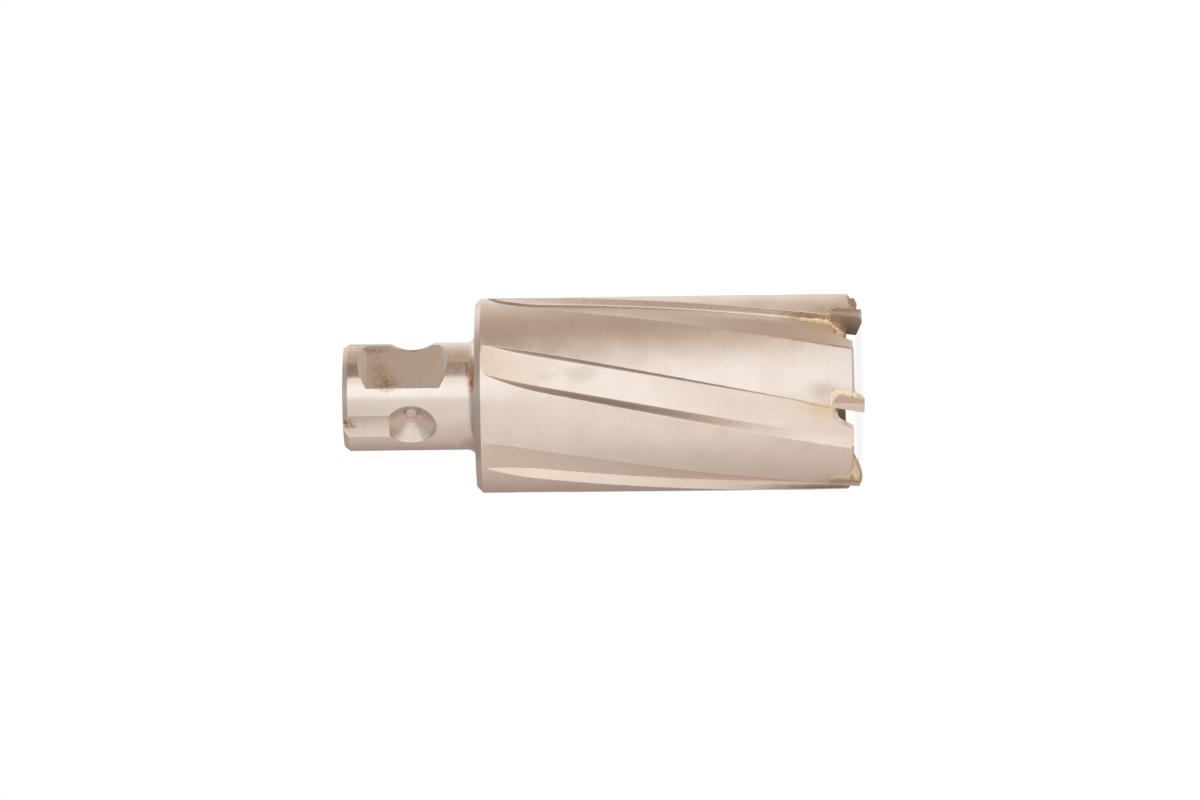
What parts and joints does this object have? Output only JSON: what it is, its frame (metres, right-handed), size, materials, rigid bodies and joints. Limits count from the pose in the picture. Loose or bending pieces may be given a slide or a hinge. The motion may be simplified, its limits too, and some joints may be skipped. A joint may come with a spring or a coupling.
{
  "type": "annular cutter",
  "caption": "Hollow metal-cutting tool with helical flutes, brazed carbide tips and a ball-seat quick-change shank.",
  "frame": {"origin": "on the axis, in the plane of the tips' points, on which the cutter stands", "axes": "+Z along the axis from the tips to the shank, +X through the first ball seat of the shank"},
  "size_m": [0.0348, 0.035, 0.0915],
  "materials": {
    "ground_steel": "satin ground tool steel",
    "carbide": "ground tungsten carbide, dull grey-brown",
    "braze": "silver-brass braze, glossy from the torch"
  },
  "bodies": {
    "root": {"cutter_body": "ground_steel", "carbide_tip_1": "carbide", "carbide_tip_2": "carbide", "carbide_tip_3": "carbide", "carbide_tip_4": "carbide", "carbide_tip_5": "carbide", "carbide_tip_6": "carbide", "braze_joint_1": "braze", "braze_joint_2": "braze", "braze_joint_3": "braze", "braze_joint_4": "braze", "braze_joint_5": "braze", "braze_joint_6": "braze"}
  },
  "joints": []
}
